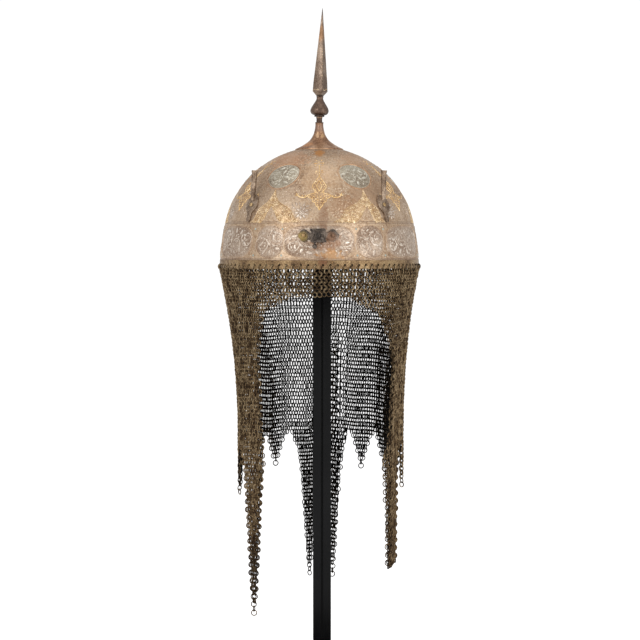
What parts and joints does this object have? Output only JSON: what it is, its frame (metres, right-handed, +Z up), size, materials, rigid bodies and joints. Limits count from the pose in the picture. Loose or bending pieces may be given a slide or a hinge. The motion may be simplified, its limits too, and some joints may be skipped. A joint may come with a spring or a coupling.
{
  "type": "kulah khud helmet on a plain display stand",
  "caption": "Domed steel helmet with spike finial, plume tubes, nasal bracket with wing screw and a pointed mail curtain, on a plain black post stand.",
  "frame": {"origin": "middle of the underside of the stand's foot, on the post's axis", "axes": "+Z up, the helmet's front faces -Y, +X to the right in a front view"},
  "size_m": [0.24, 0.24, 0.7006],
  "materials": {
    "bowl": "brown patinated steel, engraved and gold inlaid",
    "finial_trumpet": "brown patinated steel with worn gilding",
    "finial_nut": "dark steel",
    "finial_bulb": "dark brown steel",
    "finial_spike": "dark steel with gold dots",
    "plume_holder_left": "brown steel",
    "plume_holder_right": "brown steel",
    "plume_rivet_left": "worn brass",
    "plume_rivet_right": "worn brass",
    "nasal_bracket": "dark steel",
    "nasal_rivet_left": "worn brass",
    "nasal_rivet_right": "worn brass",
    "nasal_screw": "dark steel",
    "mail_curtain": "brown iron mail",
    "stand_head": "black paint",
    "stand_post": "black paint",
    "stand_foot": "black paint"
  },
  "bodies": {
    "helmet": {"bowl": "bowl", "finial_trumpet": "finial_trumpet", "finial_nut": "finial_nut", "finial_bulb": "finial_bulb", "finial_spike": "finial_spike", "plume_holder_left": "plume_holder_left", "plume_holder_right": "plume_holder_right", "plume_rivet_left": "plume_rivet_left", "plume_rivet_right": "plume_rivet_right", "nasal_bracket": "nasal_bracket", "nasal_rivet_left": "nasal_rivet_left", "nasal_rivet_right": "nasal_rivet_right", "mail_curtain": "mail_curtain", "stand_head": "stand_head", "stand_post": "stand_post", "stand_foot": "stand_foot"},
    "screw": {"nasal_screw": "nasal_screw"}
  },
  "joints": [
    {"name": "nasal_screw_turn", "type": "hinge", "parent": "helmet", "child": "screw", "pos_m": [-0.00383, -0.11, 0.4635], "axis": [0, -1, 0], "continuous": true}
  ]
}
